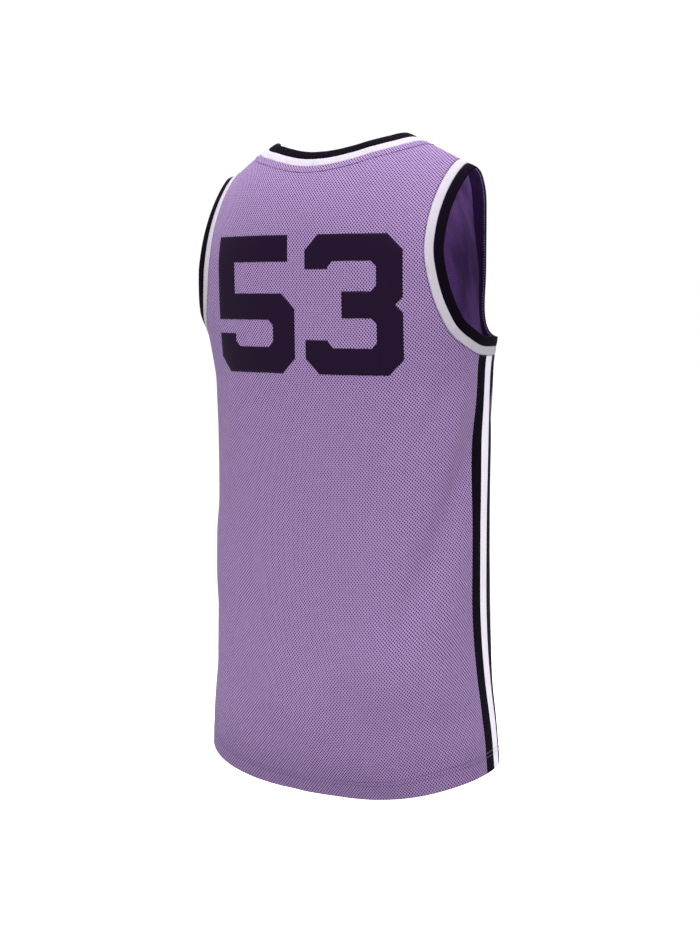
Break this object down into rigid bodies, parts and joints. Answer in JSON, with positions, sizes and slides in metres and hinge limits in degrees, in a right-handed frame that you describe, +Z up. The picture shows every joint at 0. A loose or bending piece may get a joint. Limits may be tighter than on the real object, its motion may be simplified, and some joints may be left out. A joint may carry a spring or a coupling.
{
  "type": "sleeveless basketball jersey, worn shape with no wearer",
  "caption": "Sleeveless mesh sports jersey in its worn shape, hollow, with rib trim at the neck and armholes, side stripes and a dropped tail.",
  "frame": {"origin": "on the centre plane, at the shoulder line, at the height where the straps rest on the shoulders", "axes": "+Z up along the body, -Y the way the front faces, +X towards the wearer's left"},
  "size_m": [0.3623, 0.2388, 0.7516],
  "materials": {
    "mesh_body": "lavender two-layer birdseye mesh with deep purple behind its holes",
    "trim_dark": "near black purple rib and mesh",
    "trim_white": "cool white rib and mesh"
  },
  "bodies": {
    "root": {"back_panel": "mesh_body", "front_panel": "mesh_body", "neck_rib_white": "trim_white", "neck_rib_dark": "trim_dark", "armhole_rib_white_left": "trim_white", "armhole_rib_dark_left": "trim_dark", "armhole_rib_white_right": "trim_white", "armhole_rib_dark_right": "trim_dark", "side_stripe_dark_back_left": "trim_dark", "side_stripe_white_left": "trim_white", "side_stripe_dark_front_left": "trim_dark", "side_stripe_dark_back_right": "trim_dark", "side_stripe_white_right": "trim_white", "side_stripe_dark_front_right": "trim_dark"}
  },
  "joints": []
}
